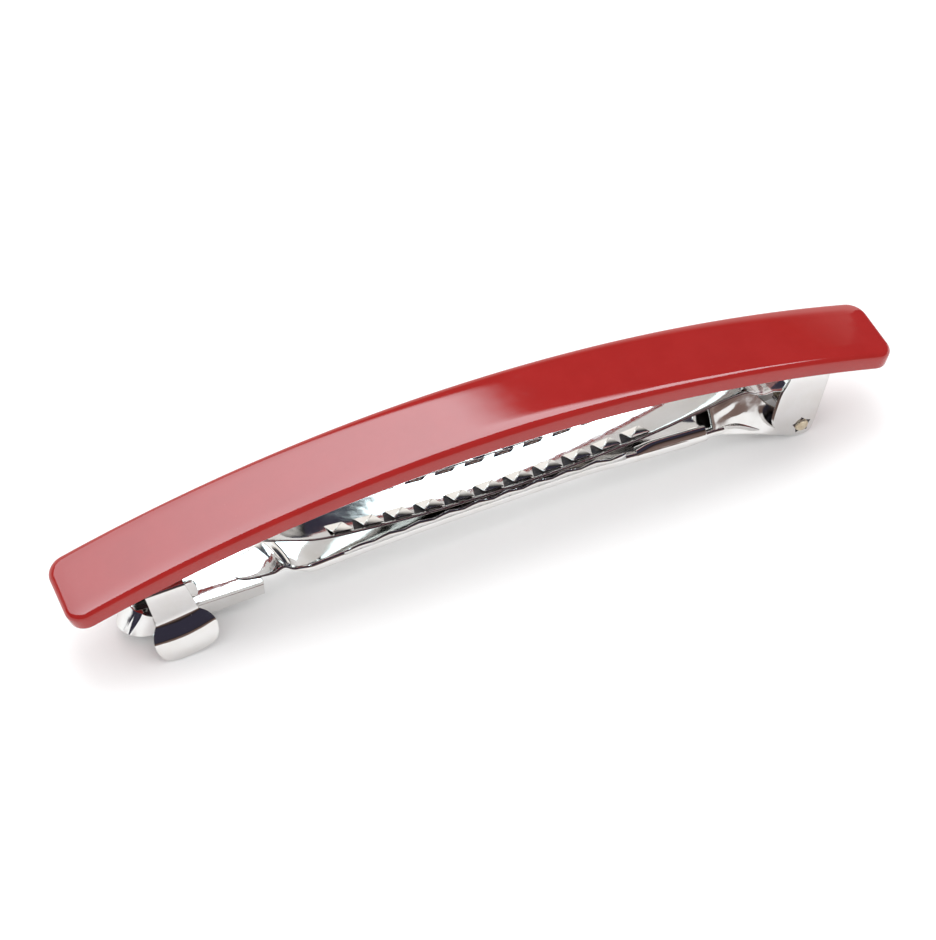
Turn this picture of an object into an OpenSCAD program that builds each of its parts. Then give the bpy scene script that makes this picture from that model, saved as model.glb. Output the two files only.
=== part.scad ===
// Hair barrette: an arched acetate bar on a sprung pressed-metal clasp.
// X runs along the bar (catch at -X, hinge at +X), Y runs across it and Z is up.
// The origin is under the middle of the bar, on the surface it stands on.

/* [Acetate bar] */
// Length of the bar along its curve
bar_length = 97; // [96:0.5:100]
// Width of the bar
bar_width = 9.2; // [8.6:0.1:10.5]
// Thickness of the bar
bar_thickness = 2.4; // [1.8:0.1:2.6]
// Radius of the bar's top face along its length
bar_radius = 160; // [156:1:166]
// Radius of the four corners seen from above
corner_radius = 2.1; // [1:0.1:3]
// Radius along the long top and bottom edges
edge_radius = 0.6; // [0.3:0.1:0.8]
// Height of the bar's crown above the surface it stands on
crown_height = 16.6; // [16.6:0.1:17]

/* [Base plate] */
// Thickness of the adhesive film
film_thickness = 0.1; // [0.06:0.02:0.16]
// Thickness of the base plate and of the catch legs
base_thickness = 0.5; // [0.4:0.05:0.55]
// Width of the base strip under the bar
base_width = 6.6; // [5.5:0.1:7]
// Width over the hinge ears and over the catch legs
clasp_width = 7.2; // [7.1:0.05:7.4]

/* [Catch] */
// Tilt of the catch from level
catch_tilt = 9; // [8:0.5:10]
// Half width of a finger tab
tab_half_width = 3.65; // [3:0.05:4]
// How far a finger tab stands out from its leg
tab_reach = 2.45; // [2:0.05:2.6]

/* [Arm] */
// Thickness of the arm's sheet
arm_thickness = 0.45; // [0.35:0.05:0.5]
// Depth of the channel at the catch end
channel_depth = 2.5; // [2:0.1:2.6]
// Half width of the channel
channel_half = 2.65; // [2.4:0.05:2.7]

/* [Tension bar] */
// Thickness of the sprung strip
spring_thickness = 0.35; // [0.3:0.05:0.35]
// Half width of the sprung strip
spring_half = 2.75; // [2.4:0.05:2.8]
// Radius of the strip's bow
spring_radius = 150; // [146:1:156]
// Teeth along each edge
tooth_count = 11; // [8:1:11]
// Distance from tooth to tooth
tooth_pitch = 3.45; // [3.2:0.05:3.5]
// Height of a tooth above the strip
tooth_height = 0.5; // [0.3:0.05:0.6]

/* [Hinge] */
// Radius of the hinge pin
pin_radius = 0.6; // [0.5:0.05:0.65]
// Running clearance of the arm on the pin
pin_clearance = 0.05; // [0.03:0.01:0.08]

/* [Hidden] */
$fn = 64;
over = 0.01;                                       // overlap that joins two solids of one piece

// Arc that the bar, the film and the base plate share
arc_z = crown_height - bar_radius;                 // height of the arc's centre
bar_angle = bar_length / 2 / bar_radius * 180 / PI;
bar_under_r = bar_radius - bar_thickness;          // radius of the bar's underside
base_top_r = bar_under_r - film_thickness;
base_under_r = base_top_r - base_thickness;
base_start_x = -30;                                // where the base leaves the bar for the catch
base_end_u = 3.4;                                  // end of the base past the middle of the ears
base_start_angle = asin(base_start_x / base_under_r);

// Hinge, measured along and square to the bar at the ears
ear_angle = 13.5;                                  // place of the ears on the arc
ear_half = clasp_width / 2;
ear_drop = 8.72;                                   // ears below the base's underside
pin_u = 1.86;
pin_drop = 7.26;
pin_r = base_under_r - pin_drop;                   // distance of the pin from the arc's centre
pin_x = pin_u * cos(ear_angle) + pin_r * sin(ear_angle);
pin_z = arc_z - pin_u * sin(ear_angle) + pin_r * cos(ear_angle);
pin_head_r = 0.8;
pin_head_t = 0.25;

// Catch, measured from the middle of its bridge's top face
catch_x = -37;
catch_z = 8.9;
bridge_from = -2.5;
bridge_to = 2.4;
leg_half = clasp_width / 2;
leg_axis_y = leg_half - base_thickness / 2;        // flexing line of a leg
leg_axis_b = -base_thickness / 2;
leg_foot = -6;                                     // where a leg turns out into its tab
tab_centre = -6.55;
tab_half_height = 2.4;
barb_reach = 0.38;
root_gap = 0.02;                                   // clearance round a leg's rounded root

// Arm
channel_top = 4.0;
tip_x = -41;
channel_end_x = -26.2;
web_x = 3;                                         // crown of the arm's long web
web_top = 5.5;
web_radius = 360;
web_from_x = -23.2;
web_to_x = 28;
rim_depth = 0.9;                                   // turned-down edge of the web
arm_ear_half = 3.0;
// Half widths of the long web, from the joggle to the hinge
arm_stations = [[-23.2, 2.3], [-21.6, 3.3], [-18, 3.4], [0, 3.3], [12, 3.0], [17, 3.4], [25.3, 3.4],
                [26.2, 3.0], [28.2, 3.0]];

// Tension bar
bow_x = 1;
bow_top = 6.2;                                     // lowest height of the strip's top face
bow_from_x = -19;
bow_to_x = 21.5;
hook_gap = 0.05;                                   // clearance of the hook on the pin
hook_half = 1.7;
tooth_length = 2.3;
tooth_shift = -2.95;                               // middle of the tooth rows from the lowest point of the bow
first_tooth_x = bow_x + tooth_shift - (tooth_count - 1) / 2 * tooth_pitch;

// ---- shared shapes ----

// Places children at an angle along the arc, with Z measured from the arc's centre
module on_arc(angle) { translate([0, 0, arc_z]) rotate([0, angle, 0]) children(); }

// Places children in the catch's own tilted frame
module in_catch() { translate([catch_x, 0, catch_z]) rotate([0, -catch_tilt, 0]) children(); }

// Spins a profile drawn as [radius, y] about the Y axis through the origin, between two angles from +Z
module arc_sweep(from, to) {
    rotate([90, 0, 0]) rotate([0, 0, 90 - to]) rotate_extrude(angle = to - from, $fn = 256) children();
}

// Extrudes an [x, z] outline from y to y + thickness
module side_plate(y, thickness) {
    translate([0, y + thickness, 0]) rotate([90, 0, 0]) linear_extrude(thickness) children();
}

// A rectangle with round corners, all from exact squares and circles
module round_rect(x0, x1, y0, y1, r) {
    translate([x0 + r, y0]) square([x1 - x0 - 2 * r, y1 - y0]);
    translate([x0, y0 + r]) square([x1 - x0, y1 - y0 - 2 * r]);
    for (x = [x0 + r, x1 - r], y = [y0 + r, y1 - r]) translate([x, y]) circle(r);
}

// What a rounded corner of radius r takes off, with the corner at the origin
module corner_waste(r) {
    difference() {
        translate([-r, -r]) square(r + 1);
        translate([-r, -r]) circle(r);
    }
}

function bezier(a, b, c, d, steps) =
    [for (i = [0:steps]) let (t = i / steps, s = 1 - t)
        s * s * s * a + 3 * s * s * t * b + 3 * s * t * t * c + t * t * t * d];
function unit(v) = v / norm(v);
function heading(path, i) = unit(path[min(i + 1, len(path) - 1)] - path[max(i - 1, 0)]);
function beside(path, d) =
    [for (i = [0:len(path) - 1]) let (h = heading(path, i)) path[i] + d * [-h[1], h[0]]];
function reversed(list) = [for (i = [len(list) - 1:-1:0]) list[i]];

// A strip of the given thickness centred on a path
module ribbon(path, thickness) {
    polygon(concat(beside(path, thickness / 2), reversed(beside(path, -thickness / 2))));
}

// An outline mirrored about the X axis from stations of [x, half width]
module mirrored_plan(stations, inset) {
    polygon(concat([for (s = stations) [s[0], s[1] - inset]],
                   reversed([for (s = stations) [s[0], inset - s[1]]])));
}

// ---- acetate bar ----

module acetate_bar() {
    color("firebrick") difference() {
        translate([0, 0, arc_z]) arc_sweep(-bar_angle, bar_angle)
            round_rect(bar_under_r, bar_radius, -bar_width / 2, bar_width / 2, edge_radius);
        for (end = [0, 1], side = [0, 1])
            mirror([end, 0, 0]) mirror([0, side, 0]) on_arc(bar_angle)
                translate([0, bar_width / 2, bar_under_r - 1])
                    linear_extrude(bar_thickness + 2) corner_waste(corner_radius);
    }
}

// ---- adhesive film ----

module adhesive_film() {
    color("gainsboro") translate([0, 0, arc_z])
        arc_sweep(base_start_angle, ear_angle + 0.9)
            translate([base_top_r, 0.2 - base_width / 2]) square([film_thickness, base_width - 0.4]);
}

// ---- base plate: arched strip, hinge ears and catch bridge in one pressing ----

module ear_outline() {
    polygon([[-1.5, 0.1], [-2.1, -2.2], [-2.1, -6.6], [-0.8, -8.3], [0.4, -ear_drop], [2.6, -ear_drop],
             [base_end_u, -7.9], [base_end_u, 0.1]]);
    translate([2.6, 0.8 - ear_drop]) circle(0.8);
    translate([0.4, 1.4 - ear_drop]) circle(1.4);
}

module base_strip() {
    end_angle = ear_angle + asin(base_end_u / base_under_r);
    translate([0, 0, arc_z]) {
        arc_sweep(base_start_angle, end_angle)
            translate([base_under_r, -base_width / 2]) square([base_thickness, base_width]);
        arc_sweep(ear_angle - asin(1.5 / base_under_r), end_angle)
            translate([base_under_r, -ear_half]) square([base_thickness, clasp_width]);
    }
}

// The strip steps down from the bar to the catch's level bridge
module base_step() {
    start = [base_under_r * sin(base_start_angle), arc_z + base_under_r * cos(base_start_angle)]
        + [base_thickness / 2 * sin(base_start_angle), base_thickness / 2 * cos(base_start_angle)];
    foot = [catch_x + (bridge_to - 0.4) * cos(catch_tilt) + base_thickness / 2 * sin(catch_tilt),
            catch_z + (bridge_to - 0.4) * sin(catch_tilt) - base_thickness / 2 * cos(catch_tilt)];
    path = bezier(foot, foot + [1.8, 0.28], start - [1.8, -0.36] - [0, 0.72], start + [0.3, 0.06], 10);
    side_plate(-2.4, 4.8) ribbon(path, base_thickness);
}

module catch_bridge() {
    rebate_y = leg_half - base_thickness - 0.12;
    in_catch() difference() {
        translate([bridge_from, -leg_axis_y, -base_thickness])
            cube([bridge_to - bridge_from, 2 * leg_axis_y, base_thickness]);
        for (side = [-1, 1]) {
            translate([bridge_from - 1, side * leg_axis_y, leg_axis_b]) rotate([0, 90, 0])
                cylinder(r = base_thickness / 2 + root_gap, h = bridge_to - bridge_from + 2);
            translate([bridge_from - 1, side > 0 ? rebate_y : -rebate_y - 1, -base_thickness - 1])
                cube([bridge_to - bridge_from + 2, 1, 1 + base_thickness / 2]);
        }
    }
}

module base_plate() {
    color("silver") {
        difference() {
            union() {
                base_strip();
                on_arc(ear_angle) for (side = [0, 1]) mirror([0, side, 0])
                    translate([0, 0, base_under_r])
                        side_plate(ear_half - base_thickness, base_thickness) ear_outline();
            }
            translate([pin_x, -5, pin_z]) rotate([-90, 0, 0]) cylinder(r = pin_radius + root_gap, h = 10);
        }
        base_step();
        catch_bridge();
    }
}

// ---- hinge pin, headed over outside both ears ----

module hinge_pin() {
    color("wheat") translate([pin_x, 0, pin_z]) rotate([-90, 0, 0]) {
        cylinder(r = pin_radius, h = clasp_width + 2 * over, center = true);
        for (side = [0, 1]) mirror([0, 0, side])
            translate([0, 0, ear_half]) cylinder(r = pin_head_r, h = pin_head_t);
    }
}

// ---- catch legs, each with a dished finger tab ----

module leg_outline() {
    polygon([[-2.3, leg_axis_b], [1.95, leg_axis_b], [2.1, -1.2], [2.45, -4.3], [2.2, leg_foot - 0.1],
             [-2.25, leg_foot - 0.1], [-2.35, -3]]);
}

// Turns out from the foot of the leg and then down, drawn as [y, height]
module tab_section() {
    out = leg_half + tab_reach - base_thickness / 2;
    path = concat(bezier([leg_axis_y, leg_foot + 0.3], [leg_axis_y, -6.5], [out - 1.4, -6.3], [out - 0.5, -6.9], 8),
                  bezier([out - 0.3, -7.08], [out, -7.4], [out, -8.2], [out - 0.25, -9.2], 6));
    ribbon(path, base_thickness);
}

module tab_outline() {
    polygon([for (a = [0:10:350]) [tab_half_width * cos(a), tab_centre + tab_half_height * sin(a)]]);
}

module catch_leg() {
    in_catch() mirror([0, 1, 0]) {
        side_plate(leg_half - base_thickness, base_thickness) leg_outline();
        translate([-2.3, leg_axis_y, leg_axis_b]) rotate([0, 90, 0])
            cylinder(r = base_thickness / 2, h = 4.25);
        intersection() {
            translate([-5, 0, 0]) rotate([90, 0, 90]) linear_extrude(10) tab_section();
            side_plate(0, 10) tab_outline();
        }
        // Barb struck inwards from the leg
        translate([-0.9, 0, 0]) rotate([90, 0, 90]) linear_extrude(1.8)
            polygon([[leg_half - base_thickness + over, -4.9], [leg_half - base_thickness - barb_reach, -5.5],
                     [leg_half - base_thickness + over, -5.75]]);
    }
}

module catch_leg_front() { color("silver") catch_leg(); }
module catch_leg_rear() { color("silver") mirror([0, 1, 0]) catch_leg(); }

// ---- clasp arm ----

module channel_plan(inset) {
    round_x = tip_x + channel_half;
    translate([round_x, 0]) circle(channel_half - inset);
    translate([round_x, inset - channel_half])
        square([channel_end_x - round_x, 2 * (channel_half - inset)]);
}

// Channel with its walls turned down and its end closed round the tip
module arm_channel() {
    difference() {
        translate([0, 0, channel_top - channel_depth]) linear_extrude(channel_depth) channel_plan(0);
        translate([0, 0, channel_top - channel_depth - 1])
            linear_extrude(channel_depth + 1 - arm_thickness) channel_plan(arm_thickness);
        translate([channel_end_x - 1, -2, -1]) cube([2, 4, channel_top + 1 - arm_thickness]);
        // Windows that face the legs' barbs
        translate([catch_x - 0.6, -5, channel_top - 1.5]) cube([2.9, 10, 0.8]);
    }
}

module arm_joggle() {
    web_z = web_top - (web_from_x - web_x) * (web_from_x - web_x) / 2 / web_radius;
    path = bezier([channel_end_x - 0.4, channel_top - arm_thickness / 2],
                  [channel_end_x + 1.6, channel_top - arm_thickness / 2],
                  [web_from_x - 1.4, web_z - arm_thickness / 2 - 0.05],
                  [web_from_x + 0.4, web_z - arm_thickness / 2 + 0.02], 8);
    side_plate(-2.3, 4.6) ribbon(path, arm_thickness);
}

// Long bowed web with its edges turned down
module arm_web() {
    from = asin((web_from_x - web_x) / web_radius);
    to = asin((web_to_x - web_x) / web_radius);
    intersection() {
        difference() {
            translate([web_x, 0, web_top - web_radius]) arc_sweep(from, to)
                translate([web_radius - rim_depth, -5]) square([rim_depth, 10]);
            linear_extrude(9) intersection() {
                mirrored_plan(arm_stations, arm_thickness);
                translate([-22.4, -5]) square([49.4, 10]);
            }
        }
        linear_extrude(9) mirrored_plan(arm_stations, 0);
    }
    intersection() {
        translate([web_x, 0, web_top - web_radius]) arc_sweep(from, to)
            translate([web_radius - arm_thickness, -5]) square([arm_thickness, 10]);
        linear_extrude(9) mirrored_plan(arm_stations, 0);
    }
}

// Walls beside the strip, ahead of the hinge
module arm_walls() {
    for (side = [0, 1]) mirror([0, side, 0]) side_plate(3.4 - arm_thickness, arm_thickness)
        polygon([[16.6, 4.6], [17.4, 6.6], [19.4, 6.7], [24.6, 6.1], [25.3, 5.3], [25.3, 3.9]]);
}

module arm_ear_outline() {
    polygon([[26.4, 4.4], [26.6, 7.45], [29.6, 8.15], [30.6, 7.9], [32.6, 5.4], [33.8, 3.4], [pin_x, pin_z + 1.5],
             [pin_x, pin_z - 1.5], [34.6, 0.15], [31.6, 2.0], [28, 3.4], [26.4, 3.9]]);
    translate([pin_x, pin_z]) circle(1.5);
}

module arm_heel() {
    path = bezier([27.6, 4.45], [29, 4.3], [30.2, 3.4], [32.4, 1.85], 6);
    side_plate(-arm_ear_half, 2 * arm_ear_half) ribbon(path, arm_thickness);
}

module clasp_arm() {
    color("silver") {
        arm_channel();
        arm_joggle();
        arm_web();
        arm_walls();
        arm_heel();
        difference() {
            for (side = [0, 1]) mirror([0, side, 0])
                side_plate(arm_ear_half - arm_thickness, arm_thickness) arm_ear_outline();
            translate([pin_x, -5, pin_z]) rotate([-90, 0, 0])
                cylinder(r = pin_radius + pin_clearance, h = 10);
        }
    }
}

// ---- tension bar ----

function bow_point(x) = [x, bow_top - spring_thickness / 2 + spring_radius
    - sqrt(spring_radius * spring_radius - (x - bow_x) * (x - bow_x))];
function about_pin(r, angle) = [pin_x + r * cos(angle), pin_z + r * sin(angle)];

hook_r = pin_radius + hook_gap + spring_thickness / 2;
strip_path = concat(
    bezier([-27.4, 10.2], [-26, 10.15], [-24, 9.1], bow_point(bow_from_x), 10),
    [for (x = [bow_from_x + 3:3:bow_to_x]) bow_point(x)],
    bezier([23.2, 7.75], [25.6, 8.15], [27.6, 8.5], [29.6, 8.68], 5),
    bezier([30.4, 8.66], [31.4, 8.3], [32, 7.4], [33.4, 6.9], 6),
    bezier([33.9, 6.75], [36.4, 6.0], about_pin(hook_r + 1.0, 60), about_pin(hook_r, 20), 8),
    [for (angle = [0:-20:-200]) about_pin(hook_r, angle)]);

module strip_plan() {
    round_x = -27.4 + spring_half;
    translate([round_x, 0]) circle(spring_half);
    translate([round_x, -spring_half]) square([34.6 - round_x, 2 * spring_half]);
    translate([34, -hook_half]) square([6, 2 * hook_half]);
}

// One row of teeth, each a low wedge that is steep on the catch side
module tooth_row() {
    for (i = [0:tooth_count - 1]) {
        x = first_tooth_x + i * tooth_pitch;
        sink = bow_point(x + tooth_length / 2)[1];
        translate([x, 0, sink]) rotate([0, -asin((x - bow_x) / spring_radius), 0])
            side_plate(spring_half - 1.15, 0.8)
                polygon([[0, 0], [0.7, tooth_height + spring_thickness / 2], [tooth_length, 0]]);
    }
}

module tension_bar() {
    color("silver") {
        intersection() {
            side_plate(-5, 10) ribbon(strip_path, spring_thickness);
            linear_extrude(12) strip_plan();
        }
        for (side = [0, 1]) mirror([0, side, 0]) tooth_row();
    }
}

acetate_bar();
adhesive_film();
base_plate();
hinge_pin();
catch_leg_front();
catch_leg_rear();
clasp_arm();
tension_bar();
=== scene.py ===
import math

import bmesh
import bpy
from mathutils import Matrix, Vector


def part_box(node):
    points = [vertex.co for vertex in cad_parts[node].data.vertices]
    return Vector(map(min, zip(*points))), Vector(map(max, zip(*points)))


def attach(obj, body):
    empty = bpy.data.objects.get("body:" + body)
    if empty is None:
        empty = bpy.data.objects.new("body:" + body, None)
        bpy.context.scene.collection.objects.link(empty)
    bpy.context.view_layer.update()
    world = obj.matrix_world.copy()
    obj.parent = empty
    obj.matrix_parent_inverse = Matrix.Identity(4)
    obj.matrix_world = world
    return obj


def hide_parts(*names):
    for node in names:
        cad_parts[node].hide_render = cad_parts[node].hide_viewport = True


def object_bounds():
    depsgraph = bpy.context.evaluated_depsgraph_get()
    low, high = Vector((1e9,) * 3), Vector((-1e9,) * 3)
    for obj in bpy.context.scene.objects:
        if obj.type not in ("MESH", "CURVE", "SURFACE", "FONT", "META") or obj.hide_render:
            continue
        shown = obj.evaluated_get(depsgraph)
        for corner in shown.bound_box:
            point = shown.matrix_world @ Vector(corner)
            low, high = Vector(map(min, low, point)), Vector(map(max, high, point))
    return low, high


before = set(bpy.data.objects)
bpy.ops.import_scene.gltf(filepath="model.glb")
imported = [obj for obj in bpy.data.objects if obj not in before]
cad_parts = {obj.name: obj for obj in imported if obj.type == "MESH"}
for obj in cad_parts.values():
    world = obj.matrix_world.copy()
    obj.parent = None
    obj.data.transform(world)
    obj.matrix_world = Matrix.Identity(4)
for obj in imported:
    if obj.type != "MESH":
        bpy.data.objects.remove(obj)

# Shapes are drawn in millimetres, along the barrette (X, catch to hinge), across it (Y) and up (Z).
MM = 0.001
# The way that sheets on the front side face, and the way that flat sheets face.
NEAR_SIDE = (0, -1, 0.3)
UPWARDS = (0, 0, 1)
CAD_BOX = [list(corner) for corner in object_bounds()]


# ---- camera, floor and light -------------------------------------------------

CAMERA_AZIMUTH = 21.49
CAMERA_ELEVATION = 46.80
CAMERA_ROLL = -2.04
CAMERA_TARGET = (-1.596, 0, 7.729)
CAMERA_DISTANCE = 335.46
CAMERA_LENS = 120.71

FLOOR_HALF = 1.5
CARD_HEIGHT = 0.5
COOL_WHITE = (0.83, 1.0, 1.06)
WARM_WHITE = (1, 0.97, 0.93)
BROWN_WALL = (0.24, 0.165, 0.145)
ROOM_TINT = (0.85, 0.78, 1.25)
ROOM_IN_GLOSS = 0.05
DOME_LIGHT = 1.27
BACK_LIGHT_PLACE = (0.02, 0.22, 0.55)


def add_camera():
    azimuth = math.radians(CAMERA_AZIMUTH)
    elevation = math.radians(CAMERA_ELEVATION)
    roll = math.radians(CAMERA_ROLL)
    target = Vector(CAMERA_TARGET) * MM
    distance = CAMERA_DISTANCE * MM
    forward = Vector((math.sin(azimuth) * math.cos(elevation), math.cos(azimuth) * math.cos(elevation),
                      -math.sin(elevation)))
    right = Vector((math.cos(azimuth), -math.sin(azimuth), 0))
    up = right.cross(forward)
    turned_right = math.cos(roll) * right + math.sin(roll) * up
    turned_up = -math.sin(roll) * right + math.cos(roll) * up
    lens = bpy.data.cameras.new("camera")
    lens.sensor_fit = "HORIZONTAL"
    lens.sensor_width = 36
    lens.lens = CAMERA_LENS
    lens.clip_start = 0.01
    lens.clip_end = 20
    camera = bpy.data.objects.new("camera", lens)
    axes = Matrix((turned_right, turned_up, -forward)).transposed()
    camera.matrix_world = Matrix.Translation(target - distance * forward) @ axes.to_4x4()
    bpy.context.collection.objects.link(camera)
    bpy.context.scene.camera = camera


def tree_of(material):
    """A material's nodes and links, emptied."""
    material.use_nodes = True
    nodes = material.node_tree.nodes
    nodes.clear()
    return nodes, material.node_tree.links


def add_floor():
    shape = bmesh.new()
    bmesh.ops.create_grid(shape, x_segments=1, y_segments=1, size=FLOOR_HALF)
    mesh = bpy.data.meshes.new("floor")
    shape.to_mesh(mesh)
    shape.free()
    paper = bpy.data.materials.new("white_paper")
    nodes, links = tree_of(paper)
    shader = nodes.new("ShaderNodeBsdfPrincipled")
    output = nodes.new("ShaderNodeOutputMaterial")
    shader.inputs["Base Color"].default_value = (0.9, 0.9, 0.9, 1)
    shader.inputs["Roughness"].default_value = 0.75
    shader.inputs["Specular IOR Level"].default_value = 0.2
    links.new(shader.outputs[0], output.inputs[0])
    mesh.materials.append(paper)
    floor = bpy.data.objects.new("floor", mesh)
    floor.location.z = CAD_BOX[0][2]
    bpy.context.collection.objects.link(floor)


def add_card(name, corner, along, across, radiance, fades, colour=COOL_WHITE):
    """A glowing card seen only in the gloss, reaching from its corner by two vectors.

    Each fade names the card's own X or Y, the two places on it, from 0 to 1, between which the glow grows to
    its full strength, and the share of it that it starts from.
    """
    shape = bmesh.new()
    bmesh.ops.create_grid(shape, x_segments=1, y_segments=1, size=0.5)
    bmesh.ops.translate(shape, vec=(0.5, 0.5, 0), verts=shape.verts)
    mesh = bpy.data.meshes.new(name)
    shape.to_mesh(mesh)
    shape.free()
    glow = bpy.data.materials.new(name)
    tree = tree_of(glow)
    nodes, links = tree
    split = nodes.new("ShaderNodeSeparateXYZ")
    links.new(nodes.new("ShaderNodeTexCoord").outputs["Object"], split.inputs[0])
    level = radiance
    for axis, low, high, dim in fades:
        level = maths(tree, "MULTIPLY", remap(tree, split.outputs[axis], low, high, dim, 1), level)
    emission = nodes.new("ShaderNodeEmission")
    emission.inputs["Color"].default_value = (*colour, 1)
    output = nodes.new("ShaderNodeOutputMaterial")
    links.new(level, emission.inputs["Strength"])
    links.new(emission.outputs[0], output.inputs[0])
    mesh.materials.append(glow)
    card = bpy.data.objects.new(name, mesh)
    along, across = Vector(along), Vector(across)
    axes = Matrix((along, across, along.cross(across).normalized())).transposed()
    card.matrix_world = Matrix.Translation(corner) @ axes.to_4x4()
    card.visible_camera = card.visible_diffuse = card.visible_shadow = False
    bpy.context.collection.objects.link(card)


def add_world():
    """An even white dome for the light, and a dim room for the gloss to show between the cards."""
    world = bpy.data.worlds.new("studio")
    bpy.context.scene.world = world
    world.use_nodes = True
    nodes, links = world.node_tree.nodes, world.node_tree.links
    nodes.clear()
    path = nodes.new("ShaderNodeLightPath")
    room = nodes.new("ShaderNodeBackground")
    room.inputs[0].default_value = (*ROOM_TINT, 1)
    room.inputs[1].default_value = ROOM_IN_GLOSS
    dome = nodes.new("ShaderNodeBackground")
    dome.inputs[0].default_value = (1, 1, 1, 1)
    dome.inputs[1].default_value = DOME_LIGHT
    pick = nodes.new("ShaderNodeMixShader")
    output = nodes.new("ShaderNodeOutputWorld")
    links.new(path.outputs["Is Glossy Ray"], pick.inputs[0])
    links.new(dome.outputs[0], pick.inputs[1])
    links.new(room.outputs[0], pick.inputs[2])
    links.new(pick.outputs[0], output.inputs[0])


def add_back_light():
    """A large soft light above and behind the barrette, so that its shadow falls in front of it."""
    lamp = bpy.data.lights.new("back_light", "AREA")
    lamp.shape = "SQUARE"
    lamp.size = 0.35
    lamp.energy = 1.0
    light = bpy.data.objects.new("back_light", lamp)
    light.location = BACK_LIGHT_PLACE
    light.rotation_euler = Vector(light.location).to_track_quat("Z", "Y").to_euler()
    light.visible_glossy = False
    bpy.context.collection.objects.link(light)


def add_studio():
    """Two cards overhead share a slanting edge, where the bar's reflection ends; two more stand upright."""
    add_world()
    add_floor()
    h = CARD_HEIGHT
    along, across = Vector((0.587, -0.809, 0)), Vector((-0.809, -0.587, 0))
    edge = Vector((0.465 * h, 0.875 * h, h))
    add_card("overhead_softbox", edge - 1.2 * h * along, 1.6 * h * along, 1.6 * h * across,
             radiance=7.0, fades=[("X", 0.2, 0.85, 0.5), ("Y", 0.0, 0.09, 0.0)])
    add_card("side_strip_light", edge + 0.4 * h * along, 0.7 * h * along, 0.45 * h * across,
             radiance=8.0, fades=[("Y", 0.0, 0.2, 0.0)])
    add_card("white_backdrop", (-1.5, 1.3, 1.0), (3, 0, 0), (0, 0, -1.0),
             radiance=1.25, fades=[("Y", 0.0, 0.45, 0.0)], colour=WARM_WHITE)
    add_card("warm_wall", (-1.2, -1.0, 0.75), (2.4, 0, 0), (0, 0, -0.75),
             radiance=1.0, fades=[("Y", 0.1, 0.8, 0.1)], colour=BROWN_WALL)
    add_back_light()
    bpy.context.scene.view_settings.view_transform = "Standard"


# ---- materials ---------------------------------------------------------------

class Effect:
    """A shared shader effect: a node group that reads a place on the piece and gives a value or a colour."""

    def __init__(self, name, values, result="Mask", kind="NodeSocketFloat"):
        self.group = bpy.data.node_groups.new(name, "ShaderNodeTree")
        sockets = self.group.interface
        sockets.new_socket("Place", in_out="INPUT", socket_type="NodeSocketVector")
        for label, value in values:
            sockets.new_socket(label, in_out="INPUT", socket_type="NodeSocketFloat").default_value = value
        sockets.new_socket(result, in_out="OUTPUT", socket_type=kind)
        self.nodes, self.links = self.group.nodes, self.group.links
        self.entry, self.exit = self.nodes.new("NodeGroupInput"), self.nodes.new("NodeGroupOutput")

    def finish(self, socket):
        self.links.new(socket, self.exit.inputs[0])
        return self.group


def noise(tree, place, scale, detail=2.0, rough=0.5):
    """A noise value; the scale may be a number or another socket."""
    nodes, links = tree
    texture = nodes.new("ShaderNodeTexNoise")
    texture.inputs["Detail"].default_value = detail
    texture.inputs["Roughness"].default_value = rough
    links.new(place, texture.inputs["Vector"])
    if isinstance(scale, (int, float)):
        texture.inputs["Scale"].default_value = scale
    else:
        links.new(scale, texture.inputs["Scale"])
    return texture.outputs[0]


def remap(tree, value, low, high, start=0.0, end=1.0):
    """Eases a value from one range to another, held at both ends; a limit may be a number or a socket."""
    nodes, links = tree
    node = nodes.new("ShaderNodeMapRange")
    node.interpolation_type = "SMOOTHSTEP"
    links.new(value, node.inputs[0])
    for socket, limit in zip(node.inputs[1:5], (low, high, start, end)):
        if isinstance(limit, (int, float)):
            socket.default_value = limit
        else:
            links.new(limit, socket)
    return node.outputs[0]


def maths(tree, operation, first, second):
    """One arithmetic step on two values; each may be a number or a socket."""
    nodes, links = tree
    node = nodes.new("ShaderNodeMath")
    node.operation = operation
    for socket, value in zip(node.inputs, (first, second)):
        if isinstance(value, (int, float)):
            socket.default_value = value
        else:
            links.new(value, socket)
    return node.outputs[0]


def stretched(tree, place, scale, turn=0.0):
    """A place, turned about Z and scaled along each axis."""
    nodes, links = tree
    mapping = nodes.new("ShaderNodeMapping")
    mapping.inputs["Scale"].default_value = scale
    mapping.inputs["Rotation"].default_value = (0, 0, turn)
    links.new(place, mapping.inputs["Vector"])
    return mapping.outputs[0]


def scratch_effect():
    """Long hairline scratches in two directions, broken up along their length."""
    effect = Effect("hairline_scratches", [("Scale", 1.0), ("Width", 0.012)])
    tree = effect.nodes, effect.links
    place, size, width = effect.entry.outputs[:3]
    masks = []
    for turn, stretch in ((0.12, 0.03), (-0.5, 0.06)):
        lines = noise(tree, stretched(tree, place, (stretch, 1, 1), turn), size, 1.0)
        middle = maths(tree, "ABSOLUTE", maths(tree, "SUBTRACT", lines, 0.5), 0.0)
        line = remap(tree, middle, 0.0, width, 1.0, 0.0)
        gaps = remap(tree, noise(tree, place, maths(tree, "MULTIPLY", size, 0.35), 1.0), 0.52, 0.62)
        masks.append(maths(tree, "MULTIPLY", line, gaps))
    return effect.finish(maths(tree, "MAXIMUM", *masks))


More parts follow.
